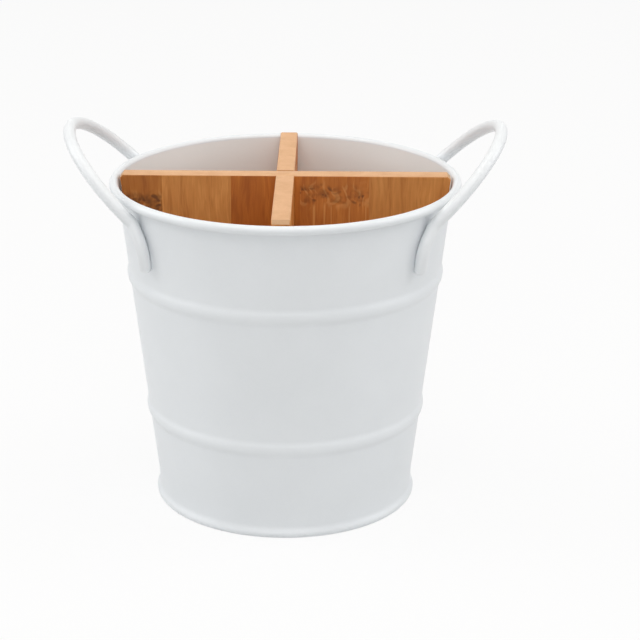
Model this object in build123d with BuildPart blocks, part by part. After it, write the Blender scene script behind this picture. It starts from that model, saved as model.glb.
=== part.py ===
from build123d import *
from math import acos, atan2, ceil, cos, degrees, hypot, radians, sin, sqrt, tan
import os

# Pail: a cone of coated steel sheet
pail_height = 110.0  # table to the top of the rolled rim
rim_diameter = 115.0  # over the rolled rim
foot_diameter = 85.0  # over the cone, carried down to the bottom seam
neck_height = 7.4  # top of the upright neck that the bottom is seamed to
sheet = 0.4  # coated steel sheet
curl_diameter = 2.9  # section of the rolled rim
curl_turn = 300.0  # degrees that the rim is rolled through
flat_turn = 30.0  # degrees to each of the short flats that draw a round
hollow_turn = 60.0  # the same, inside the rolled rim

# Beads pressed outwards round the wall
bead_heights = (32.0, 78.5)
bead_width = 4.8
bead_depth = 0.8

# Lap seam up the back of the wall
lap_width = 4.0
lap_rim_gap = 1.2  # from the end of the lap to the rolled rim

# Bottom: a disc folded round the foot of the wall
seam_height = 3.4
seam_gap = 0.05  # between the folded layers
seam_lean = 1.7  # height of the top of the fold, which leans in to the wall
seam_edge = 0.7  # chamfer under the fold
hem_out = 0.45  # from the wall to the outside of its folded foot
floor_height = 3.6  # table to the inside of the disc

# Handles: round wire, welded to the wall at its ends and bent out under the rim
wire_diameter = 4.0
weld_flat = 0.5  # depth of the flat where the wire meets the wall
leg_rise = 8.6  # from the end of the leg to the knee, where it bows out sideways
leg_end_angle = 36.6  # round the pail, from the middle of the handle
knee_rise = 6.8  # from the knee to the shoulder
knee_angle = 37.4
knee_gap = 0.2  # from the wire to the wall
knee_bend = 10.0
shoulder_drop = 7.2  # from the top of the rim to the shoulder, where the wire turns out under it
shoulder_angle = 33.0
shoulder_gap = 0.2
shoulder_bend = 5.0
shoulder_run = 1.6  # straight, from the shoulder to the arch
handle_tilt = 46.0  # of the arch above the table
wire_end_chamfer = 0.6

# Divider: two crossed bamboo slats, each glued up from upright strips
slat_thickness = 6.0
slat_stand = 1.1  # height of the slats above the rim
slat_clearance = 0.8  # from the ends of the slats to the wall
lap_clearance = 0.15  # round the crossing
slat_corner = 1.2
slat_edge = 0.5
strip_count = 5
strip_share = 0.273  # width of a strip, as a share of the slat's width at the foot
upper_offcut_share = 0.013  # the same, of the first strip, which is an offcut
lower_offcut_share = 0.042

os.makedirs("parts", exist_ok=True)

# The inside face of the cone: a straight line from the foot diameter that touches the curl
curl_radius = curl_diameter / 2
curl_centre_r = rim_diameter / 2 - curl_radius
curl_centre_z = pail_height - curl_radius
foot_inside = foot_diameter / 2 - sheet
foot_top = seam_height + sheet
lean_r = curl_centre_r - foot_inside
lean_z = curl_centre_z - foot_top
slope = degrees(acos(curl_radius / hypot(lean_r, lean_z)) - atan2(lean_z, lean_r))
up_r = sin(radians(slope))
up_z = cos(radians(slope))
cone_end_z = curl_centre_z + curl_radius * up_r


def inner_radius(height):
    return foot_inside + (height - foot_top) * tan(radians(slope))


neck_inside = inner_radius(neck_height)
neck_outside = neck_inside + sheet


def outer_radius(height):
    return inner_radius(height) + sheet / up_z


def cone_point(height, out):
    return (inner_radius(height) + out * up_z, height - out * up_r)


# A round drawn as short flats, each through no more than so many degrees
def flats(arc, turn, each):
    count = ceil(turn / each)
    return Polyline(*[arc @ (step / count) for step in range(count + 1)])


# Where a face of the neck, out from the inside face by so much, leans into the cone
def neck_corner(out):
    return (neck_inside + out, neck_height - out * tan(radians(slope / 2)))


# A face of the cone with its beads, from the neck to so high
def cone_face(top, out):
    start = neck_corner(out)
    bead_turn = degrees(4 * atan2(bead_depth, bead_width / 2))
    rise = sqrt((bead_width / 2) ** 2 + 2 * out * bead_depth) * up_z
    for height in bead_heights:
        bead_foot = cone_point(height - rise, out)
        bead_crest = cone_point(height, out + bead_depth)
        bead_top = cone_point(height + rise, out)
        Line(start, bead_foot)
        bead = ThreePointArc(bead_foot, bead_crest, bead_top, mode=Mode.PRIVATE)
        flats(bead, bead_turn, flat_turn)
        start = bead_top
    return Line(start, cone_point(top, out))


# Wall, with its rolled rim, beads, folded foot and lap seam
foot_bottom = sheet + seam_gap
seam_edge_inside = seam_edge - sheet * (2 - sqrt(2))
hem_bottom = foot_bottom + seam_edge_inside
hem_radius = neck_outside + hem_out
wrap_radius = hem_radius + seam_gap
lip_radius = neck_outside + seam_gap
lean_run = wrap_radius + sheet - lip_radius
lean_foot = seam_height - seam_lean
lean_foot_inside = lean_foot - sheet * tan(atan2(lean_run, seam_lean) / 2)
hem_top = lean_foot_inside - seam_gap
lap_top = pail_height - curl_diameter - lap_rim_gap
lap_angle = degrees(lap_width / inner_radius(lap_top))

with BuildPart() as pail_wall:
    with BuildSketch(Plane.XZ):
        with BuildLine():
            feet = []
            tips = []
            for out, each in ((0, flat_turn), (sheet, hollow_turn)):
                foot = Line((neck_inside + out, foot_bottom), neck_corner(out))
                run = cone_face(cone_end_z, out)
                roll = JernArc(run @ 1, run % 1, curl_radius - out, -curl_turn, mode=Mode.PRIVATE)
                curl = flats(roll, curl_turn, each)
                feet.append(foot @ 0)
                tips.append(curl @ 1)
            Line(*feet)
            Line(*tips)
        make_face()
        with Locations((hem_radius, hem_bottom)):
            Rectangle(hem_out + sheet / 2, hem_top - hem_bottom, align=(Align.MAX, Align.MIN))
    revolve(axis=Axis.Z)
    with BuildSketch(Plane.YZ.rotated((0, -lap_angle / 2, 0))):
        with BuildLine():
            lap_faces = (sheet / 2, 2 * sheet)
            lap_feet = [Line((neck_inside + out, foot_top), neck_corner(out)) for out in lap_faces]
            Line(*[foot @ 0 for foot in lap_feet])
            Line(*[cone_face(lap_top, out) @ 1 for out in lap_faces])
        make_face()
    revolve(axis=Axis.Z, revolution_arc=lap_angle)
pail_wall.part.label = "pail_wall"
export_step(pail_wall.part, "parts/pail_wall.step")

# Bottom disc, with its skirt and the fold that wraps the foot of the wall
skirt_radius = neck_inside - seam_gap
fold_radius = wrap_radius + sheet
lip_inside = lean_foot_inside + (wrap_radius - lip_radius) * seam_lean / lean_run

with BuildPart() as pail_bottom:
    with BuildSketch(Plane.XZ):
        with BuildLine():
            Polyline(
                (0, floor_height),
                (skirt_radius, floor_height),
                (skirt_radius, sheet),
                (wrap_radius - seam_edge_inside, sheet),
                (wrap_radius, sheet + seam_edge_inside),
                (wrap_radius, lean_foot_inside),
                (lip_radius, lip_inside),
                (lip_radius, seam_height),
                (fold_radius, lean_foot),
                (fold_radius, seam_edge),
                (fold_radius - seam_edge, 0),
                (skirt_radius - sheet, 0),
                (skirt_radius - sheet, floor_height - sheet),
                (0, floor_height - sheet),
                close=True,
            )
        make_face()
    revolve(axis=Axis.Z)
pail_bottom.part.label = "pail_bottom"
export_step(pail_bottom.part, "parts/pail_bottom.step")


# A point on the axis of the wire, beside the wall
def wire_point(height, angle, gap):
    radius = outer_radius(height) + (wire_diameter / 2 + gap) / up_z
    return Vector(radius * cos(radians(angle)), radius * sin(radians(angle)), height)


# Handle: an arch of wire between two shoulders, with legs bent down on to the wall
tilt = Vector(cos(radians(handle_tilt)), 0, sin(radians(handle_tilt)))
shoulder_height = pail_height - shoulder_drop
knee_height = shoulder_height - knee_rise
leg_end_height = knee_height - leg_rise
leg_end = wire_point(leg_end_height, leg_end_angle, -weld_flat)
knee = wire_point(knee_height, knee_angle, knee_gap)
shoulder = wire_point(shoulder_height, shoulder_angle, shoulder_gap)
arch_end = shoulder + tilt * shoulder_run
arch_top = Vector(arch_end.X, 0, arch_end.Z) + tilt * shoulder.Y
saddle_bottom = leg_end_height - wire_diameter
saddle_top = knee_height

with BuildPart() as right_handle:
    with BuildLine():
        TangentArc(arch_top, arch_end, tangent=(0, 1, 0))
        FilletPolyline(arch_end, shoulder, knee, leg_end, radius=[shoulder_bend, knee_bend])
    with BuildSketch(Plane(arch_top, x_dir=(1, 0, 0), z_dir=(0, 1, 0))):
        RegularPolygon(wire_diameter / 2, ceil(360 / flat_turn))
    sweep()
    leg_foot = right_handle.faces().sort_by(Axis.Z)[0]
    chamfer(leg_foot.edges(), wire_end_chamfer)
    with Locations((0, 0, saddle_bottom)):
        Cone(
            outer_radius(saddle_bottom),
            outer_radius(saddle_top),
            saddle_top - saddle_bottom,
            align=(Align.CENTER, Align.CENTER, Align.MIN),
            mode=Mode.SUBTRACT,
        )
    mirror(about=Plane.XZ)
right_handle.part.label = "right_handle"
export_step(right_handle.part, "parts/right_handle.step")

with BuildPart() as left_handle:
    mirror(right_handle.part, about=Plane.YZ)
left_handle.part.label = "left_handle"
export_step(left_handle.part, "parts/left_handle.step")

# Slats: tapered boards that stand on the bottom and follow the wall, half-lapped where they cross
slat_top = pail_height + slat_stand
slat_height = slat_top - floor_height
top_half = inner_radius(slat_top) - slat_clearance
foot_half = inner_radius(floor_height) - slat_clearance
slot_width = slat_thickness + 2 * lap_clearance
slot_depth = slat_height / 2 + lap_clearance


def slat_board(plane, slot_mouth):
    with BuildPart() as board:
        with BuildSketch(plane) as outline:
            with BuildLine():
                Polyline(
                    (-foot_half, floor_height),
                    (foot_half, floor_height),
                    (top_half, slat_top),
                    (-top_half, slat_top),
                    close=True,
                )
            make_face()
            fillet(outline.vertices(), slat_corner)
            with Locations((0, slot_mouth)):
                Rectangle(slot_width, 2 * slot_depth, mode=Mode.SUBTRACT)
        extrude(amount=slat_thickness / 2, both=True)
        long_edges = board.edges().filter_by(Axis(plane.origin, plane.x_dir))
        eased = long_edges.group_by(Axis.Z)[0] + long_edges.group_by(Axis.Z)[-1]
        chamfer(eased, slat_edge)
    return board.part


# The ends of the strips along a slat, from the offcut on
def strip_ends(offcut_share):
    shares = [offcut_share + number * strip_share for number in range(strip_count - 1)]
    joints = [(2 * share - 1) * foot_half for share in shares]
    return [-rim_diameter / 2, *joints, rim_diameter / 2]


slats = (
    ("upper_slat", Plane.XZ, floor_height, upper_offcut_share),
    ("lower_slat", Plane.YZ, slat_top, lower_offcut_share),
)
for slat_name, plane, slot_mouth, offcut_share in slats:
    board = slat_board(plane, slot_mouth)
    ends = strip_ends(offcut_share)
    for number, (start, end) in enumerate(zip(ends, ends[1:]), 1):
        with BuildPart() as strip:
            add(board)
            with BuildSketch(plane):
                with Locations((start, 0)):
                    Rectangle(end - start, 2 * slat_top, align=(Align.MIN, Align.CENTER))
            extrude(amount=slat_thickness, both=True, mode=Mode.INTERSECT)
        strip.part.label = f"{slat_name}_strip_{number}"
        export_step(strip.part, f"parts/{strip.part.label}.step")
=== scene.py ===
import bpy
from math import acos, atan2, cos, hypot, pi, radians, sin, tan
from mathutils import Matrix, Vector


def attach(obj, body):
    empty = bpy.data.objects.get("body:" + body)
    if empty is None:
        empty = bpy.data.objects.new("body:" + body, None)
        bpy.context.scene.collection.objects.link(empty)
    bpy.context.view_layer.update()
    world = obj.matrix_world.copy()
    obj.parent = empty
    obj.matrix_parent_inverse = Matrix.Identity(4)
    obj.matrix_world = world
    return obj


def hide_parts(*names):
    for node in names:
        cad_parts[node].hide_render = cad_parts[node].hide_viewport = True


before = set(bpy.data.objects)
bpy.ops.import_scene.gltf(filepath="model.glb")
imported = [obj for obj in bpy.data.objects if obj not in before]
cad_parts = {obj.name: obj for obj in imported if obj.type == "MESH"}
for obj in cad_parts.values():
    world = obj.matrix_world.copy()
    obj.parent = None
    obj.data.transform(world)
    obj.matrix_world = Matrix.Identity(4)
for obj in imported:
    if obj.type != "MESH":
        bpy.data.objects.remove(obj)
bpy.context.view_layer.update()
scene = bpy.context.scene
mm = 0.001  # the shapes below are in millimetres
near = 0.01 * mm  # places closer than this are the same
mergeWithin = 0.0005 * mm
smoothAngle = 40


def clearSelection():
    if bpy.context.object and bpy.context.object.mode != "OBJECT":
        bpy.ops.object.mode_set(mode="OBJECT")
    bpy.ops.object.select_all(action="DESELECT")


def makeActive(piece):
    clearSelection()
    piece.select_set(True)
    bpy.context.view_layer.objects.active = piece


def openEdit(piece):
    makeActive(piece)
    bpy.ops.object.mode_set(mode="EDIT")


def closeEdit():
    bpy.ops.object.mode_set(mode="OBJECT")


def pickVertices(piece, wanted):  # selects vertices by place
    openEdit(piece)
    bpy.ops.mesh.select_mode(type="VERT")
    bpy.ops.mesh.select_all(action="DESELECT")
    closeEdit()
    for vertex in piece.data.vertices:
        vertex.select = wanted(vertex.co)
    bpy.ops.object.mode_set(mode="EDIT")


def pickEdges(piece, wanted):  # selects edges by the places of their ends
    openEdit(piece)
    bpy.ops.mesh.select_mode(type="EDGE")
    bpy.ops.mesh.select_all(action="DESELECT")
    closeEdit()
    points = piece.data.vertices
    for edge in piece.data.edges:
        first, second = edge.vertices
        edge.select = wanted(points[first].co, points[second].co)
    bpy.ops.object.mode_set(mode="EDIT")


def startVertex(name, place):  # one vertex, from which a profile is drawn
    clearSelection()
    bpy.ops.mesh.primitive_plane_add(size=mm, location=(0, 0, 0))
    piece = bpy.context.object
    piece.name = piece.data.name = name
    bpy.ops.object.mode_set(mode="EDIT")
    bpy.ops.mesh.select_mode(type="VERT")
    bpy.ops.mesh.select_all(action="SELECT")
    bpy.ops.mesh.merge(type="CENTER")
    bpy.ops.transform.translate(value=place)
    return piece


def drawBy(offset):
    bpy.ops.mesh.extrude_region_move(TRANSFORM_OT_translate={"value": offset})


def turnBy(angle, centre, axis, steps):  # spin runs against the right-hand rule
    bpy.ops.mesh.spin(steps=steps, angle=-angle, center=centre, axis=axis)


def spinUpright(angle, steps):  # the whole profile, about the pail's axis
    bpy.ops.mesh.select_all(action="SELECT")
    turnBy(angle, (0, 0, 0), (0, 0, 1), steps)
    closeSeams()


def closeSeams():
    bpy.ops.mesh.select_all(action="SELECT")
    bpy.ops.mesh.remove_doubles(threshold=mergeWithin)
    bpy.ops.mesh.normals_make_consistent(inside=False)


def applyModifier(piece, kind, **settings):
    closeEdit()
    modifier = piece.modifiers.new(kind.title(), kind)
    for key, value in settings.items():
        setattr(modifier, key, value)
    bpy.ops.object.modifier_apply(modifier=modifier.name)


def smoothPiece(piece):
    makeActive(piece)
    bpy.ops.object.shade_smooth_by_angle(angle=radians(smoothAngle))


def copyPiece(piece, name):
    makeActive(piece)
    bpy.ops.object.duplicate(linked=False)
    copied = bpy.context.object
    copied.name = copied.data.name = name
    return copied


# Node helpers
def addNode(tree, kind, settings=None, inputs=None):
    item = tree.nodes.new(kind)
    for key, value in (settings or {}).items():
        setattr(item, key, value)
    for key, value in (inputs or {}).items():
        if isinstance(value, bpy.types.NodeSocket):
            tree.links.new(value, item.inputs[key])
        else:
            item.inputs[key].default_value = value
    return item


def maths(tree, operation, *values):
    item = addNode(tree, "ShaderNodeMath", {"operation": operation}, dict(enumerate(values)))
    return item.outputs[0]


def multiply(tree, first, second):
    return maths(tree, "MULTIPLY", first, second)


def addUp(tree, first, second):
    return maths(tree, "ADD", first, second)


def remap(tree, value, low, high, newLow, newHigh, smooth=False):
    shape = {"interpolation_type": "SMOOTHSTEP" if smooth else "LINEAR", "clamp": True}
    inputs = {"Value": value, "From Min": low, "From Max": high, "To Min": newLow, "To Max": newHigh}
    return addNode(tree, "ShaderNodeMapRange", shape, inputs).outputs["Result"]


def mixColours(tree, factor, first, second):
    inputs = {0: factor, 6: first, 7: second}
    return addNode(tree, "ShaderNodeMix", {"data_type": "RGBA", "blend_type": "MIX"}, inputs).outputs[2]


def addVectors(tree, first, second):
    return addNode(tree, "ShaderNodeVectorMath", {"operation": "ADD"}, {0: first, 1: second}).outputs[0]


def stretchedNoise(tree, vector, scale, **inputs):
    moved = addNode(tree, "ShaderNodeMapping", None, {"Vector": vector, "Scale": scale})
    values = {"Vector": moved.outputs[0], "Scale": 1.0, **inputs}
    return addNode(tree, "ShaderNodeTexNoise", None, values).outputs["Fac"]


def newGroup(name, inputs, outputs):
    group = bpy.data.node_groups.new(name, "ShaderNodeTree")
    for socketName, kind in inputs:
        group.interface.new_socket(name=socketName, in_out="INPUT", socket_type=kind)
    for socketName, kind in outputs:
        group.interface.new_socket(name=socketName, in_out="OUTPUT", socket_type=kind)
    return group, group.nodes.new("NodeGroupInput").outputs, group.nodes.new("NodeGroupOutput").inputs


def placeGroup(tree, group, inputs):
    return addNode(tree, "ShaderNodeGroup", {"node_tree": group}, inputs).outputs


def newMaterial(name, **constants):
    material = bpy.data.materials.new(name)
    material.use_nodes = True
    shader = material.node_tree.nodes["Principled BSDF"]
    for key, value in constants.items():
        shader.inputs[key.replace("_", " ")].default_value = value
    return material, material.node_tree, shader


def addBump(tree, shader, height, strength, distance):
    bump = addNode(tree, "ShaderNodeBump", None, {
        "Height": height, "Strength": strength, "Distance": distance * mm})
    tree.links.new(bump.outputs[0], shader.inputs["Normal"])


def millimetres(tree, turn=0.0):  # object coordinates in millimetres, turned about the upright
    place = addNode(tree, "ShaderNodeTexCoord").outputs["Object"]
    inputs = {"Vector": place, "Rotation": (0, 0, radians(turn)), "Scale": (1 / mm, 1 / mm, 1 / mm)}
    return addNode(tree, "ShaderNodeMapping", None, inputs).outputs[0]


def seenWhite(tree):  # 1 where a surface is looked at, mirrored or looked at through glass
    path = addNode(tree, "ShaderNodeLightPath").outputs
    lookedAt = maths(tree, "MAXIMUM", path["Is Camera Ray"], path["Is Glossy Ray"])
    return maths(tree, "MAXIMUM", lookedAt, path["Is Transmission Ray"])


# White powder coating: fine orange peel, a little mottling of tone and gloss
floatKind, colourKind, vectorKind = "NodeSocketFloat", "NodeSocketColor", "NodeSocketVector"
coatLook = {
    "cloudShare": 0.75, "peelShare": 0.25, "noiseRange": (0.3, 0.7), "glossDrift": (-0.04, 0.05),
    "bumpDistance": 0.1,
}
coatGroup, coatIn, coatOut = newGroup(
    "powderCoat",
    [("Vector", vectorKind), ("Peel", floatKind), ("Mottle", floatKind), ("Gloss", floatKind)],
    [("Tone", floatKind), ("Roughness", floatKind), ("Height", floatKind)],
)
peel = addNode(coatGroup, "ShaderNodeTexNoise", None, {
    "Vector": coatIn["Vector"], "Scale": coatIn["Peel"], "Detail": 2.0, "Roughness": 0.45}).outputs["Fac"]
cloud = addNode(coatGroup, "ShaderNodeTexNoise", None, {
    "Vector": coatIn["Vector"], "Scale": coatIn["Mottle"], "Detail": 3.0, "Roughness": 0.55}).outputs["Fac"]
coatTone = addUp(coatGroup, multiply(coatGroup, cloud, coatLook["cloudShare"]),
                 multiply(coatGroup, peel, coatLook["peelShare"]))
glossDrift = remap(coatGroup, cloud, *coatLook["noiseRange"], *coatLook["glossDrift"])
coatGroup.links.new(remap(coatGroup, coatTone, *coatLook["noiseRange"], 0.0, 1.0), coatOut["Tone"])
coatGroup.links.new(addUp(coatGroup, coatIn["Gloss"], glossDrift), coatOut["Roughness"])
coatGroup.links.new(peel, coatOut["Height"])

coatFinish = {
    "pale": (0.803, 0.835, 0.862, 1), "deep": (0.773, 0.805, 0.832, 1),
    "peel": 1.5, "mottle": 0.045, "gloss": 0.36, "bump": 0.10,
}
# The inside coat is the same white paint with painted light: lighter and warmer than the outside coat,
# standing in for light falling into the pail and warm light bounced off the bamboo
insidePaintedLightFinish = {
    "pale": (0.872, 0.888, 0.875, 1), "deep": (0.847, 0.863, 0.85, 1),
    "peel": 1.5, "mottle": 0.045, "gloss": 0.40, "bump": 0.10,
}
wireFinish = {
    "pale": (0.812, 0.838, 0.86, 1), "deep": (0.78, 0.806, 0.828, 1),
    "peel": 1.9, "mottle": 0.09, "gloss": 0.32, "bump": 0.08,
}


def coatMaterial(name, finish):
    material, tree, shader = newMaterial(name)
    coat = placeGroup(tree, coatGroup, {
        "Vector": millimetres(tree), "Peel": finish["peel"],
        "Mottle": finish["mottle"], "Gloss": finish["gloss"]})
    tone = mixColours(tree, coat["Tone"], finish["deep"], finish["pale"])
    tree.links.new(tone, shader.inputs["Base Color"])
    tree.links.new(coat["Roughness"], shader.inputs["Roughness"])
    addBump(tree, shader, coat["Height"], finish["bump"], coatLook["bumpDistance"])
    return material


coatedSheet = coatMaterial("coatedSheet", coatFinish)
# the inside coat carries painted light, lighter and warmer than the outside coat
coatedInsidePaintedLight = coatMaterial("coatedInsidePaintedLight", insidePaintedLightFinish)
coatedWire = coatMaterial("coatedWire", wireFinish)
print("coating made")

# Bamboo fibre: soft upright streaks of tone, with short pale and dark flecks
fibreLook = {  # noises by their scale across, through and along the strip
    "sway": (0.08, 0.08, 0.05), "swayRange": (0.2, 0.8), "swayBy": (-1.1, 1.1),
    "bands": (0.24, 0.24, 0.035), "bandShare": 0.42,
    "streaks": (0.85, 0.85, 0.105), "streakShare": 0.38,
    "lines": (2.6, 2.6, 0.16), "lineShare": 0.20, "lineRange": (0.3, 0.7), "roughness": (0.56, 0.44),
    "darkToMiddle": (0.34, 0.50), "middleToPale": (0.49, 0.66),
    "paleFlecks": (1.35, 1.35, 0.10), "darkFlecks": (1.6, 1.6, 0.15),
    "fleckRange": (0.62, 0.76), "darkFleckShare": 0.6,
}
fibreGroup, fibreIn, fibreOut = newGroup(
    "bambooFibre",
    [("Vector", vectorKind), ("Pale", colourKind), ("Middle", colourKind), ("Dark", colourKind),
     ("Streaks", floatKind)],
    [("Color", colourKind), ("Roughness", floatKind), ("Height", floatKind)],
)
sway = stretchedNoise(fibreGroup, fibreIn["Vector"], fibreLook["sway"], Detail=1.0)
swayBy = addNode(fibreGroup, "ShaderNodeCombineXYZ", None, {
    "X": remap(fibreGroup, sway, *fibreLook["swayRange"], *fibreLook["swayBy"])})
fibreVector = addVectors(fibreGroup, fibreIn["Vector"], swayBy.outputs[0])
broadBands = stretchedNoise(fibreGroup, fibreVector, fibreLook["bands"], Detail=1.0)
softStreaks = stretchedNoise(fibreGroup, fibreVector, fibreLook["streaks"], Detail=2.0, Roughness=0.5)
fineLines = stretchedNoise(fibreGroup, fibreVector, fibreLook["lines"], Detail=2.0, Roughness=0.5)
paleFlecks = stretchedNoise(fibreGroup, fibreVector, fibreLook["paleFlecks"], Detail=0.0)
darkFlecks = stretchedNoise(fibreGroup, fibreVector, fibreLook["darkFlecks"], Detail=1.0, Roughness=0.5)
streaksAndLines = addUp(fibreGroup, multiply(fibreGroup, softStreaks, fibreLook["streakShare"]),
                        multiply(fibreGroup, fineLines, fibreLook["lineShare"]))
fibreMix = addUp(fibreGroup, multiply(fibreGroup, broadBands, fibreLook["bandShare"]), streaksAndLines)
darkToMiddle = remap(fibreGroup, fibreMix, *fibreLook["darkToMiddle"], 0.0, 1.0, True)
middleToPale = remap(fibreGroup, fibreMix, *fibreLook["middleToPale"], 0.0, 1.0, True)
lowTone = mixColours(fibreGroup, darkToMiddle, fibreIn["Dark"], fibreIn["Middle"])
fullTone = mixColours(fibreGroup, middleToPale, lowTone, fibreIn["Pale"])
paleMask = multiply(fibreGroup, remap(fibreGroup, paleFlecks, *fibreLook["fleckRange"], 0.0, 1.0, True),
                    fibreIn["Streaks"])
streaked = mixColours(fibreGroup, paleMask, fullTone, fibreIn["Pale"])
darkMask = remap(fibreGroup, darkFlecks, *fibreLook["fleckRange"], 0.0, fibreLook["darkFleckShare"], True)
flecked = mixColours(fibreGroup, darkMask, streaked, fibreIn["Dark"])
fibreRoughness = remap(fibreGroup, fineLines, *fibreLook["lineRange"], *fibreLook["roughness"])
fibreGroup.links.new(flecked, fibreOut["Color"])
fibreGroup.links.new(fibreRoughness, fibreOut["Roughness"])
fibreGroup.links.new(fineLines, fibreOut["Height"])

# Bamboo node: smudged dark eyes across the strip among pale flames, with thin pale bundles running down
markLook = {  # scales as above; bands are distances from the node's level
    "noiseRange": (0.2, 0.8), "wander": (0.13, 0.0, 0.0), "wanderBy": (-1.2, 1.2),
    "curlAcross": (0.22, 0.22, 0.22), "curlAcrossBy": (-1.8, 1.8),
    "curlAlong": (0.34, 0.3, 0.3), "curlAlongBy": (-1.4, 1.4),
    "eyeScale": 0.37, "eyeEdge": (0.12, 0.46), "eyeChance": (0.25, 0.55), "eyeBand": (1.6, 4.2),
    "smudge": (0.32, 0.32, 0.30), "smudgeRange": (0.42, 0.68), "smudgeShare": 0.7,
    "flame": (0.75, 0.20, 1.0), "flameRange": (0.56, 0.78), "flameShare": 0.62, "flameBand": (2.5, 5.5),
    "bundle": (1.15, 1.15, 0.012), "bundleRange": (0.64, 0.78), "bundleShare": 0.9,
    "bundleStart": (-2.5, -4.5), "bundleEnd": (-20.0, -8.0),
}
markGroup, markIn, markOut = newGroup(
    "bambooNode",
    [("Vector", vectorKind), ("Level", floatKind), ("Depth", floatKind), ("Bundles", floatKind)],
    [("Mark", floatKind), ("Pale", floatKind)],
)


def markDrift(name, detail):  # a slow noise, as a distance in millimetres
    noise = stretchedNoise(markGroup, markIn["Vector"], markLook[name], Detail=detail)
    return remap(markGroup, noise, *markLook["noiseRange"], *markLook[name + "By"])


markParts = addNode(markGroup, "ShaderNodeSeparateXYZ", None, {"Vector": markIn["Vector"]}).outputs
markRise = maths(markGroup, "SUBTRACT", maths(markGroup, "SUBTRACT", markParts["Z"], markIn["Level"]),
                 markDrift("wander", 1.0))
markDistance = maths(markGroup, "ABSOLUTE", markRise)
markPlace = addNode(markGroup, "ShaderNodeCombineXYZ", None, {
    "X": addUp(markGroup, markParts["X"], markDrift("curlAcross", 0.0)),
    "Y": addUp(markGroup, markRise, markDrift("curlAlong", 0.0))}).outputs[0]

eyes = addNode(markGroup, "ShaderNodeTexVoronoi", {"voronoi_dimensions": "2D"}, {
    "Vector": markPlace, "Scale": markLook["eyeScale"], "Randomness": 1.0}).outputs
eyeDraw = addNode(markGroup, "ShaderNodeSeparateXYZ", None, {"Vector": eyes["Color"]}).outputs["X"]
eyeSpot = multiply(markGroup, remap(markGroup, eyes["Distance"], *markLook["eyeEdge"], 1.0, 0.0, True),
                   remap(markGroup, eyeDraw, *markLook["eyeChance"], 0.0, 1.0))
smudgeNoise = stretchedNoise(markGroup, markIn["Vector"], markLook["smudge"], Detail=2.0)
smudge = remap(markGroup, smudgeNoise, *markLook["smudgeRange"], 0.0, markLook["smudgeShare"], True)
eyeBand = remap(markGroup, markDistance, *markLook["eyeBand"], 1.0, 0.0, True)
darkMark = multiply(markGroup, maths(markGroup, "MAXIMUM", eyeSpot, smudge), eyeBand)
markGroup.links.new(multiply(markGroup, darkMark, markIn["Depth"]), markOut["Mark"])

flamePlace = addNode(markGroup, "ShaderNodeMapping", None, {
    "Vector": markPlace, "Scale": markLook["flame"]})
flameNoise = addNode(markGroup, "ShaderNodeTexNoise", {"noise_dimensions": "2D"}, {
    "Vector": flamePlace.outputs[0], "Scale": 1.0, "Detail": 0.0}).outputs["Fac"]
flameBand = remap(markGroup, markDistance, *markLook["flameBand"], 1.0, 0.0, True)
flameMask = multiply(markGroup, flameBand, remap(
    markGroup, flameNoise, *markLook["flameRange"], 0.0, markLook["flameShare"], True))
bundleNoise = stretchedNoise(markGroup, markIn["Vector"], markLook["bundle"], Detail=0.0)
bundleFall = multiply(markGroup, remap(markGroup, markRise, *markLook["bundleStart"], 0.0, 1.0, True),
                      remap(markGroup, markRise, *markLook["bundleEnd"], 0.0, 1.0, True))
bundleMask = multiply(markGroup, bundleFall, remap(
    markGroup, bundleNoise, *markLook["bundleRange"], 0.0, markLook["bundleShare"], True))
paleMark = maths(markGroup, "MAXIMUM", flameMask, bundleMask)
markGroup.links.new(multiply(markGroup, paleMark, markIn["Bundles"]), markOut["Pale"])

stripTones = {  # pale, middle and dark fibre of each tone of strip
    "honey": ((0.665, 0.297, 0.081, 1), (0.558, 0.226, 0.054, 1), (0.450, 0.166, 0.036, 1)),
    "amber": ((0.585, 0.208, 0.041, 1), (0.479, 0.155, 0.027, 1), (0.379, 0.110, 0.017, 1)),
    "umber": ((0.495, 0.186, 0.038, 1), (0.405, 0.138, 0.024, 1), (0.318, 0.098, 0.016, 1)),
    "russet": ((0.535, 0.172, 0.024, 1), (0.433, 0.127, 0.016, 1), (0.348, 0.094, 0.011, 1)),
}
stripLook = {
    "knot": (0.15, 0.05, 0.011, 1), "flame": (0.70, 0.33, 0.10, 1), "shine": 0.3,
    "shiftBy": Vector((1.0, 0.4, 1.7)), "markDepth": 0.8, "bump": 0.25, "bumpDistance": 0.12,
}


def stripMaterial(name, look, turn):
    material, tree, shader = newMaterial(name, Specular_IOR_Level=stripLook["shine"])
    place = millimetres(tree, turn)
    pale, middle, dark = stripTones[look["tone"]]
    fibre = placeGroup(tree, fibreGroup, {
        "Vector": addVectors(tree, place, stripLook["shiftBy"] * look["shift"]),
        "Pale": pale, "Middle": middle, "Dark": dark, "Streaks": look["streaks"]})
    colour, height = fibre["Color"], fibre["Height"]
    for level, depth, bundleShare, across in look["nodes"]:
        mark = placeGroup(tree, markGroup, {
            "Vector": addVectors(tree, place, (across, 0, 0)),
            "Level": level, "Depth": depth, "Bundles": bundleShare})
        colour = mixColours(tree, mark["Pale"], colour, stripLook["flame"])
        colour = mixColours(tree, mark["Mark"], colour, stripLook["knot"])
        height = maths(tree, "SUBTRACT", height, multiply(tree, mark["Mark"], stripLook["markDepth"]))
    tree.links.new(colour, shader.inputs["Base Color"])
    tree.links.new(fibre["Roughness"], shader.inputs["Roughness"])
    addBump(tree, shader, height, stripLook["bump"], stripLook["bumpDistance"])
    return material


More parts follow.
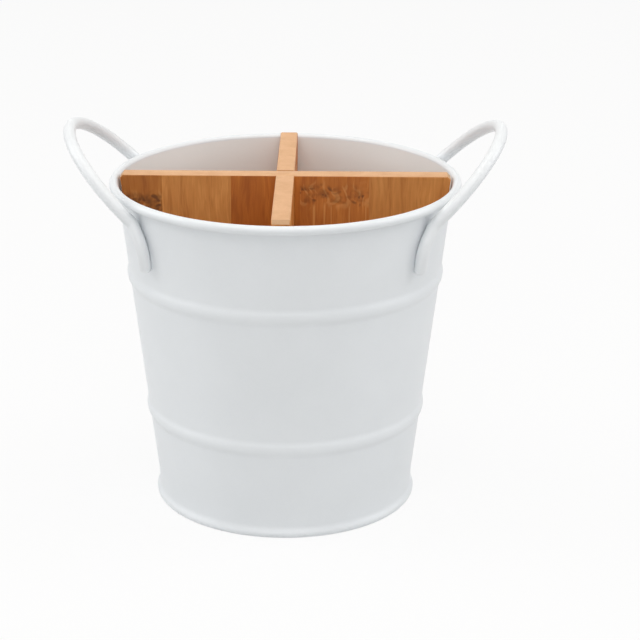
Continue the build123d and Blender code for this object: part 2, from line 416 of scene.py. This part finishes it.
endGrain = {  # the sawn ends of the fibres, seen from above
    "pale": (0.70, 0.408, 0.212, 1), "deep": (0.635, 0.352, 0.172, 1), "bundle": (0.42, 0.19, 0.075, 1),
    "cloudScale": 0.22, "cloudRange": (0.35, 0.65), "roughness": 0.55,
    "bundleSize": 1.5, "bundleEdge": (0.12, 0.36), "bundleShare": 0.24, "bump": 0.08, "bumpDistance": 0.1,
}
slantGrain = {  # the same, on the sanded corners, where the fibres are cut at a slant
    **endGrain, "pale": (0.555, 0.34, 0.175, 1), "deep": (0.495, 0.285, 0.14, 1),
}


def endGrainMaterial(name, look):
    material, tree, shader = newMaterial(name, Roughness=look["roughness"])
    place = millimetres(tree)
    dots = addNode(tree, "ShaderNodeTexVoronoi", None, {
        "Vector": place, "Scale": look["bundleSize"]}).outputs["Distance"]
    clouds = addNode(tree, "ShaderNodeTexNoise", None, {
        "Vector": place, "Scale": look["cloudScale"], "Detail": 3.0}).outputs["Fac"]
    cloudTone = remap(tree, clouds, *look["cloudRange"], 0.0, 1.0)
    ground = mixColours(tree, cloudTone, look["deep"], look["pale"])
    dotMask = remap(tree, dots, *look["bundleEdge"], look["bundleShare"], 0.0, True)
    tree.links.new(mixColours(tree, dotMask, ground, look["bundle"]), shader.inputs["Base Color"])
    addBump(tree, shader, dots, look["bump"], look["bumpDistance"])
    return material


sawnEnd = endGrainMaterial("bambooEndGrain", endGrain)
sandedCorner = endGrainMaterial("bambooSlantGrain", slantGrain)
print("bamboo made")

# Pail wall: one sheet, drawn as its inside face from the foot to the rolled rim, then spun
wallShape = {
    "height": 110.0, "rimDiameter": 115.0, "footDiameter": 85.0, "sheet": 0.4,
    "curlDiameter": 2.9, "curlTurn": 300.0, "curlSteps": 36,
    "beadHeights": (32.0, 78.5), "beadHalf": 3.4, "beadDepth": 0.8, "beadCrown": 3.8, "beadSteps": 12,
    "seamHeight": 3.4, "neckHeight": 7.4, "neckRound": 2.5, "neckSteps": 6, "footBottom": 0.45,
    "lapWidth": 4.0, "lapRimGap": 1.2, "lapBed": 0.75, "lapSteps": 8,
    "lapEase": 0.16, "lapEaseSteps": 2, "lapEaseAngle": 60.0, "roundSteps": 240,
}
sheet = wallShape["sheet"]
curlRadius = wallShape["curlDiameter"] / 2
curlCentre = Vector((wallShape["rimDiameter"] / 2 - curlRadius, 0, wallShape["height"] - curlRadius))
footInside = wallShape["footDiameter"] / 2 - sheet
footTop = wallShape["seamHeight"] + sheet
leanR, leanZ = curlCentre.x - footInside, curlCentre.z - footTop
slope = acos(curlRadius / hypot(leanR, leanZ)) - atan2(leanZ, leanR)  # lean of the wall from upright
along, outward = Vector((sin(slope), 0, cos(slope))), Vector((cos(slope), 0, -sin(slope)))
coneEndZ = curlCentre.z + curlRadius * sin(slope)


def innerRadius(height):
    return footInside + (height - footTop) * tan(slope)


def outerRadius(height):
    return innerRadius(height) + sheet / cos(slope)


def conePoint(height, out):  # on a face of the cone, so far out from the inside face
    return Vector((innerRadius(height), 0, height)) + outward * out


neckInside = innerRadius(wallShape["neckHeight"])  # the wall stands upright below the cone
neckOutside = neckInside + sheet


def drawWallFace(name, bottom, top, out):
    around = (0, 1, 0)
    here = Vector((neckInside + out, 0, bottom))
    piece = startVertex(name, here * mm)
    neckRound = wallShape["neckRound"]
    bendStart = Vector((neckInside + out, 0, wallShape["neckHeight"] - neckRound))
    bendCentre = Vector((neckInside + neckRound / tan(slope / 2), 0, bendStart.z))
    drawBy((bendStart - here) * mm)
    turnBy(slope, bendCentre * mm, around, wallShape["neckSteps"])
    here = conePoint(wallShape["neckHeight"] + neckRound * cos(slope), out)
    half, depth, crown = wallShape["beadHalf"], wallShape["beadDepth"], wallShape["beadCrown"]
    beadTurn = 2 * atan2(depth, half)  # steepest lean of the bead's sides from the wall
    hollow = half / sin(beadTurn) - crown  # radius beside the crown
    for height in wallShape["beadHeights"]:
        middle = conePoint(height, 0)
        drawBy((middle - along * half + outward * out - here) * mm)
        below, above = [middle + along * side * half + outward * hollow for side in (-1, 1)]
        for centre, turn in ((below, 1), (middle + outward * (depth - crown), -2), (above, 1)):
            turnBy(turn * beadTurn, centre * mm, around, wallShape["beadSteps"])
        here = middle + along * half + outward * out
    drawBy((conePoint(top, out) - here) * mm)
    return piece


pailWall = drawWallFace("pailWall", wallShape["footBottom"], coneEndZ, 0.0)
turnBy(radians(wallShape["curlTurn"]), curlCentre * mm, (0, 1, 0), wallShape["curlSteps"])
spinUpright(2 * pi, wallShape["roundSteps"])
applyModifier(pailWall, "SOLIDIFY", thickness=sheet * mm, offset=-1.0)

# The lap up the back, where the ends of the sheet overlap
lapTop = wallShape["height"] - wallShape["curlDiameter"] - wallShape["lapRimGap"]
lapAngle = wallShape["lapWidth"] / innerRadius(lapTop)
lapSeam = drawWallFace("lapSeam", wallShape["seamHeight"], lapTop, wallShape["lapBed"] * sheet)
spinUpright(lapAngle, wallShape["lapSteps"])
applyModifier(lapSeam, "SOLIDIFY", thickness=(2 - wallShape["lapBed"]) * sheet * mm, offset=1.0)
applyModifier(lapSeam, "BEVEL", width=wallShape["lapEase"] * mm, segments=wallShape["lapEaseSteps"],
              limit_method="ANGLE", angle_limit=radians(wallShape["lapEaseAngle"]))
lapSeam.rotation_euler = (0, 0, (pi - lapAngle) / 2)
bpy.ops.object.transform_apply(location=False, rotation=True, scale=False)
makeActive(pailWall)
lapSeam.select_set(True)
bpy.ops.object.join()
pailWall.data.materials.append(coatedSheet)
pailWall.data.materials.append(coatedInsidePaintedLight)
for face in pailWall.data.polygons:  # the inside, up to the rolled rim, takes the coat with painted light, lighter and warmer than the outside
    inward = face.normal.x * face.center.x + face.normal.y * face.center.y < 0
    face.material_index = 1 if inward and face.center.z < coneEndZ * mm else 0
smoothPiece(pailWall)
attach(pailWall, "pail")
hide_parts("pail_wall")
print("wall made:", len(pailWall.data.polygons), "faces")

# Pail bottom: a disc with a skirt, folded round the foot of the wall, drawn as its section and spun
bottomShape = {
    "floorHeight": 3.6, "seamGap": 0.05, "seamLean": 1.6, "hemOut": 0.45, "discRings": (14.0, 28.0),
    "paintRise": 1.0, "paintOut": 0.02, "skirtBend": 0.8, "wrapRound": 0.4, "foldRound": 0.45,
    "footRound": 1.3, "creaseRound": 0.6, "underRound": 0.3, "bendSteps": 6, "roundSteps": 192,
    "floorFace": 0.9,  # least share of a normal along the upright
}
floorHeight = bottomShape["floorHeight"]
floorUnder = floorHeight - sheet
seamHeight = wallShape["seamHeight"]
leanFoot = seamHeight - bottomShape["seamLean"]
skirtRadius = neckInside - bottomShape["seamGap"]
skirtInside = skirtRadius - sheet
wrapRadius = neckOutside + bottomShape["hemOut"] + bottomShape["seamGap"]
foldRadius = wrapRadius + sheet

bottomSection = [  # radius, height and rounding of each corner
    *[(ring, floorHeight, 0) for ring in (0, *bottomShape["discRings"])],
    (skirtRadius, floorHeight, bottomShape["skirtBend"]),
    (skirtRadius, sheet, 0),
    (wrapRadius, sheet, bottomShape["wrapRound"]),
    (wrapRadius, leanFoot, 0),
    (neckOutside, seamHeight - 2 * sheet, 0),
    (neckOutside, seamHeight + bottomShape["paintRise"], 0),
    # paint fills the crease above the fold
    (neckOutside + bottomShape["paintOut"], seamHeight, bottomShape["creaseRound"]),
    (foldRadius, leanFoot, bottomShape["foldRound"]),
    (foldRadius, 0, bottomShape["footRound"]),
    (skirtInside, 0, bottomShape["underRound"]),
    (skirtInside, floorUnder, bottomShape["underRound"]),
    *[(ring, floorUnder, 0) for ring in (*bottomShape["discRings"][::-1], 0)],
]
corners = [Vector((radius, 0, height)) * mm for radius, height, rounding in bottomSection]
pailBottom = startVertex("pailBottom", corners[0])
for here, there in zip(corners, corners[1:]):
    drawBy(there - here)
for corner, (radius, height, rounding) in zip(corners, bottomSection):
    if rounding:
        pickVertices(pailBottom, lambda place: (place - corner).length < near / 2)
        bpy.ops.mesh.bevel(affect="VERTICES", offset=rounding * mm, segments=bottomShape["bendSteps"])
spinUpright(2 * pi, bottomShape["roundSteps"])
closeEdit()
pailBottom.data.materials.append(coatedSheet)
pailBottom.data.materials.append(coatedInsidePaintedLight)
for face in pailBottom.data.polygons:  # the compartments' floor takes the coat with painted light, lighter and warmer than the outside
    facesUp = face.normal.z > bottomShape["floorFace"]
    face.material_index = 1 if facesUp and face.center.z > (floorHeight + floorUnder) / 2 * mm else 0
smoothPiece(pailBottom)
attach(pailBottom, "pail")
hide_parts("pail_bottom")
print("bottom made:", len(pailBottom.data.polygons), "faces")

# Handles: half of one wire from the top of its arch to the end of its leg, mirrored, then copied across
handleShape = {
    "wire": 4.0, "sides": 32, "weldFlat": 0.5, "tilt": 46.0, "shoulderRun": 1.6,
    "shoulderDrop": 7.2, "shoulderAngle": 33.0, "shoulderGap": 0.2, "shoulderBend": 5.0,
    "kneeRise": 6.8, "kneeAngle": 37.4, "kneeGap": 0.2, "kneeBend": 10.0,
    "legRise": 8.6, "legAngle": 36.6, "archSteps": 40, "bendSteps": 10, "endSteps": 5, "endRound": 1.2,
}
wireRadius = handleShape["wire"] / 2


def wirePoint(height, angle, gap):  # on the wire's axis, beside the wall
    radius = outerRadius(height) + (wireRadius + gap) / cos(slope)
    return Vector((radius * cos(radians(angle)), radius * sin(radians(angle)), height))


shoulderHeight = wallShape["height"] - handleShape["shoulderDrop"]
kneeHeight = shoulderHeight - handleShape["kneeRise"]
legHeight = kneeHeight - handleShape["legRise"]
shoulder = wirePoint(shoulderHeight, handleShape["shoulderAngle"], handleShape["shoulderGap"])
knee = wirePoint(kneeHeight, handleShape["kneeAngle"], handleShape["kneeGap"])
legEnd = wirePoint(legHeight, handleShape["legAngle"], -handleShape["weldFlat"])
tilt = Vector((cos(radians(handleShape["tilt"])), 0, sin(radians(handleShape["tilt"]))))
archEnd = shoulder + tilt * handleShape["shoulderRun"]
archCentre = Vector((archEnd.x, 0, archEnd.z))
archTop = archCentre + tilt * shoulder.y

clearSelection()
bpy.ops.mesh.primitive_circle_add(
    vertices=handleShape["sides"], radius=wireRadius * mm, fill_type="NOTHING",
    location=archTop * mm, rotation=(pi / 2, 0, 0))
rightHandle = bpy.context.object
rightHandle.name = rightHandle.data.name = "rightHandle"
bpy.ops.object.transform_apply(location=True, rotation=True, scale=True)
bpy.ops.object.mode_set(mode="EDIT")
bpy.ops.mesh.select_all(action="SELECT")
turnBy(pi / 2, archCentre * mm, tilt.cross(Vector((0, 1, 0))), handleShape["archSteps"])
here, heading = archEnd, -tilt
bends = ((shoulder, knee, handleShape["shoulderBend"]), (knee, legEnd, handleShape["kneeBend"]))
for corner, there, bend in bends:
    nextHeading = (there - corner).normalized()
    bendTurn = heading.angle(nextHeading)
    cutBack = bend * tan(bendTurn / 2)
    axis = heading.cross(nextHeading).normalized()
    bendStart = corner - heading * cutBack
    if (bendStart - here).dot(heading) * mm > near:
        drawBy((bendStart - here) * mm)
    turnBy(bendTurn, (bendStart + axis.cross(heading) * bend) * mm, axis, handleShape["bendSteps"])
    here, heading = corner + nextHeading * cutBack, nextHeading
endRound = handleShape["endRound"]
drawBy((legEnd - heading * endRound - here) * mm)
ringRadius, ringBack = wireRadius, endRound
for step in range(1, handleShape["endSteps"] + 1):  # the rounded end of the leg
    angle = radians(90 * step / handleShape["endSteps"])
    nextRadius, nextBack = wireRadius - endRound + endRound * cos(angle), endRound - endRound * sin(angle)
    drawBy(heading * (ringBack - nextBack) * mm)
    factor = nextRadius / ringRadius
    ringCentre = (legEnd - heading * nextBack) * mm
    bpy.ops.transform.resize(value=(factor, factor, factor), center_override=ringCentre)
    ringRadius, ringBack = nextRadius, nextBack
bpy.ops.mesh.edge_face_add()
applyModifier(rightHandle, "MIRROR", use_axis=(False, True, False), merge_threshold=near)
openEdit(rightHandle)
closeSeams()
closeEdit()
rightHandle.data.materials.append(coatedWire)
smoothPiece(rightHandle)
leftHandle = copyPiece(rightHandle, "leftHandle")
leftHandle.scale = (-1, 1, 1)
bpy.ops.object.transform_apply(location=False, rotation=False, scale=True)
openEdit(leftHandle)
closeSeams()
closeEdit()
for handle, nodeName in ((leftHandle, "left_handle"), (rightHandle, "right_handle")):
    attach(handle, "pail")
    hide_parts(nodeName)
print("handles made:", len(rightHandle.data.polygons), "faces each")

# Divider: two half-lapped boards, each bisected into its glued strips
boardShape = {
    "thickness": 6.0, "stand": 1.1, "clearance": 0.8, "lapClearance": 0.15,
    "corner": 1.2, "edge": 0.5, "stripShare": 0.273, "cornerSteps": 1, "edgeSteps": 3, "slotMargin": 0.1,
    "endFace": 0.6, "cornerFace": 0.5,  # least share of a normal along the upright and along the slat
}
slats = {  # nodes: level, depth of the marks, share of pale bundles, shift of the pattern
    "upperSlat": {
        "body": "upper_slat", "node": "upper_slat_strip_", "turn": 0.0,
        "slotBelow": True, "offcutShare": 0.013,
        "strips": (
            {"tone": "umber", "shift": 3.0, "streaks": 0.25,
             "nodes": ((101.0, 1.0, 0.3, 62.0), (101.8, 1.0, 0.3, 34.0))},
            {"tone": "honey", "shift": 41.0, "streaks": 0.5, "nodes": ((60.0, 0.7, 0.5, 0.0),)},
            {"tone": "russet", "shift": 77.0, "streaks": 0.2, "nodes": ((38.0, 0.7, 0.5, 0.0),)},
            {"tone": "amber", "shift": 113.0, "streaks": 0.35, "nodes": ((104.4, 0.85, 0.75, 0.0),)},
            {"tone": "honey", "shift": 158.0, "streaks": 0.3, "nodes": ((52.0, 0.7, 0.5, 0.0),)},
        ),
    },
    "lowerSlat": {
        "body": "lower_slat", "node": "lower_slat_strip_", "turn": 90.0,
        "slotBelow": False, "offcutShare": 0.042,
        "strips": (
            {"tone": "honey", "shift": 201.0, "streaks": 0.4, "nodes": ((70.0, 0.7, 0.5, 0.0),)},
            {"tone": "amber", "shift": 233.0, "streaks": 0.3, "nodes": ((47.0, 0.7, 0.5, 0.0),)},
            {"tone": "honey", "shift": 269.0, "streaks": 0.45, "nodes": ((84.0, 0.7, 0.5, 0.0),)},
            {"tone": "amber", "shift": 305.0, "streaks": 0.3, "nodes": ((58.0, 0.7, 0.5, 0.0),)},
            {"tone": "russet", "shift": 342.0, "streaks": 0.25, "nodes": ((90.0, 0.7, 0.5, 0.0),)},
        ),
    },
}
boardTop = wallShape["height"] + boardShape["stand"]
boardHeight = boardTop - floorHeight
topHalf = innerRadius(boardTop) - boardShape["clearance"]
footHalf = innerRadius(floorHeight) - boardShape["clearance"]
halfThick = boardShape["thickness"] / 2
slotWidth = boardShape["thickness"] + 2 * boardShape["lapClearance"]
slotDepth = boardHeight / 2 + boardShape["lapClearance"]


def addBlock(middle, width, thickness, height):
    clearSelection()
    bpy.ops.mesh.primitive_cube_add(size=1, location=(0, 0, middle * mm),
                                    scale=(width * mm, thickness * mm, height * mm))
    bpy.ops.object.transform_apply(location=True, rotation=True, scale=True)
    return bpy.context.object


def onCorner(a, b):  # edges through the board at its four corners
    return abs(a.x - b.x) < near and abs(a.z - b.z) < near


def onOutline(a, b):  # edges round the front and back faces, apart from the slot's
    alongFace = abs(abs(a.y) - halfThick * mm) < near and abs(a.y - b.y) < near
    return alongFace and max(abs(a.x), abs(b.x)) > (slotWidth / 2 + boardShape["slotMargin"]) * mm


def makeBoard(name, slotBelow):
    board = addBlock((boardTop + floorHeight) / 2, 2 * topHalf, 2 * halfThick, boardHeight)
    board.name = board.data.name = name
    pickVertices(board, lambda place: place.z < (boardTop + floorHeight) / 2 * mm)  # the taper to the foot
    bpy.ops.transform.resize(value=(footHalf / topHalf, 1, 1), center_override=(0, 0, floorHeight * mm))
    pickEdges(board, onCorner)
    bpy.ops.mesh.bevel(affect="EDGES", offset=boardShape["corner"] * mm, segments=boardShape["cornerSteps"])
    cutter = addBlock(floorHeight if slotBelow else boardTop, slotWidth, 4 * halfThick, 2 * slotDepth)
    makeActive(board)
    applyModifier(board, "BOOLEAN", object=cutter, operation="DIFFERENCE", solver="EXACT")
    bpy.data.objects.remove(cutter)
    pickEdges(board, onOutline)
    bpy.ops.mesh.bevel(affect="EDGES", offset=boardShape["edge"] * mm, segments=boardShape["edgeSteps"])
    closeEdit()
    return board


def keepBetween(piece, start, end):
    openEdit(piece)
    bpy.ops.mesh.select_all(action="SELECT")
    bpy.ops.mesh.bisect(plane_co=(start * mm, 0, 0), plane_no=(1, 0, 0), use_fill=True, clear_inner=True)
    bpy.ops.mesh.select_all(action="SELECT")
    bpy.ops.mesh.bisect(plane_co=(end * mm, 0, 0), plane_no=(1, 0, 0), use_fill=True, clear_outer=True)
    closeSeams()
    closeEdit()


for slatName, slat in slats.items():
    board = makeBoard(slatName, slat["slotBelow"])
    turn = radians(slat["turn"])
    lengthwise = Vector((cos(turn), sin(turn), 0))
    joints = range(len(slat["strips"]) - 1)
    shares = [slat["offcutShare"] + joint * boardShape["stripShare"] for joint in joints]
    ends = [-2 * topHalf, *[(2 * share - 1) * footHalf for share in shares], 2 * topHalf]
    for number, look in enumerate(slat["strips"], 1):
        strip = copyPiece(board, slatName + "Strip" + str(number))
        keepBetween(strip, ends[number - 1], ends[number])
        strip.rotation_euler = (0, 0, turn)
        bpy.ops.object.transform_apply(location=False, rotation=True, scale=False)
        strip.data.materials.append(stripMaterial(slatName + "Bamboo" + str(number), look, -slat["turn"]))
        strip.data.materials.append(sawnEnd)
        strip.data.materials.append(sandedCorner)
        for face in strip.data.polygons:  # the fibres' ends show on the top and bottom
            if abs(face.normal.z) > boardShape["endFace"]:
                slanted = abs(face.normal.dot(lengthwise)) > boardShape["cornerFace"]
                face.material_index = 2 if slanted else 1
        smoothPiece(strip)
        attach(strip, slat["body"])
        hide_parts(slat["node"] + str(number))
    bpy.data.objects.remove(board)
    print(slatName, "made:", len(slat["strips"]), "strips")

# Stage: a white table, a pale room and soft lamps
stageLook = {
    "tableSize": 8.0, "tableColour": (0.74, 0.74, 0.74, 1), "tableRoughness": 0.9, "ownWhite": 0.90,
    "roomLight": 0.16, "lampAim": Vector((0, 0, 0.06)),
    "lamps": (  # name, place, size, watts, colour
        ("overLamp", (0.0, -0.15, 1.45), 1.6, 13.3, (1.0, 0.96, 0.90)),
        ("frontLamp", (0.0, -1.2, 0.9), 1.4, 7.9, (1.0, 1.0, 1.0)),
        ("leftLamp", (-1.25, 0.15, 0.75), 0.9, 7.7, (1.0, 1.0, 1.0)),
        ("rightLamp", (1.25, 0.15, 0.75), 0.9, 6.9, (1.0, 1.0, 1.0)),
    ),
}
clearSelection()
bpy.ops.mesh.primitive_plane_add(size=stageLook["tableSize"], location=(0, 0, 0))
table = bpy.context.object
table.name = table.data.name = "tableTop"
tableMaterial, tableTree, tableShader = newMaterial("whiteTable", Roughness=stageLook["tableRoughness"])
tableShader.inputs["Base Color"].default_value = stageLook["tableColour"]
ownWhite = addNode(tableTree, "ShaderNodeEmission", None, {"Color": (1, 1, 1, 1), "Strength": 1.0})
tableMix = addNode(tableTree, "ShaderNodeMixShader", None, {
    0: multiply(tableTree, seenWhite(tableTree), stageLook["ownWhite"]),
    1: tableShader.outputs[0], 2: ownWhite.outputs[0]})
tableTree.links.new(tableMix.outputs[0], tableTree.nodes["Material Output"].inputs["Surface"])
table.data.materials.append(tableMaterial)

world = bpy.data.worlds.new("paleRoom")
scene.world = world
world.use_nodes = True
roomTree = world.node_tree
room = roomTree.nodes["Background"].inputs
room["Color"].default_value = (1, 1, 1, 1)
roomStrength = remap(roomTree, seenWhite(roomTree), 0.0, 1.0, stageLook["roomLight"], 1.0)
roomTree.links.new(roomStrength, room["Strength"])

for lampName, place, size, watts, colour in stageLook["lamps"]:
    bpy.ops.object.light_add(type="AREA", location=place)
    lamp = bpy.context.object
    lamp.name = lampName
    lamp.data.size = size
    lamp.data.energy = watts
    lamp.data.color = colour
    lamp.rotation_euler = (stageLook["lampAim"] - Vector(place)).to_track_quat("-Z", "Y").to_euler()
print("stage set:", len(stageLook["lamps"]), "lamps")

# Camera
cameraLook = {
    "lens": 118.96, "sensor": 36, "distance": 0.7107, "azimuth": 1.5, "elevation": 19.98,
    "target": Vector((0, 0, 0.05426)), "shift": (0.05427, 0.0256), "clipStart": 0.01,
}
azimuth, elevation = radians(cameraLook["azimuth"]), radians(cameraLook["elevation"])
back = Vector((sin(azimuth) * cos(elevation), -cos(azimuth) * cos(elevation), sin(elevation)))
bpy.ops.object.camera_add(location=cameraLook["target"] + back * cameraLook["distance"])
camera = bpy.context.object
camera.rotation_euler = (-back).to_track_quat("-Z", "Y").to_euler()
camera.data.lens = cameraLook["lens"]
camera.data.sensor_width = cameraLook["sensor"]
camera.data.shift_x, camera.data.shift_y = cameraLook["shift"]
camera.data.clip_start = cameraLook["clipStart"]
scene.camera = camera
scene.view_settings.view_transform = "Standard"
print("camera set")
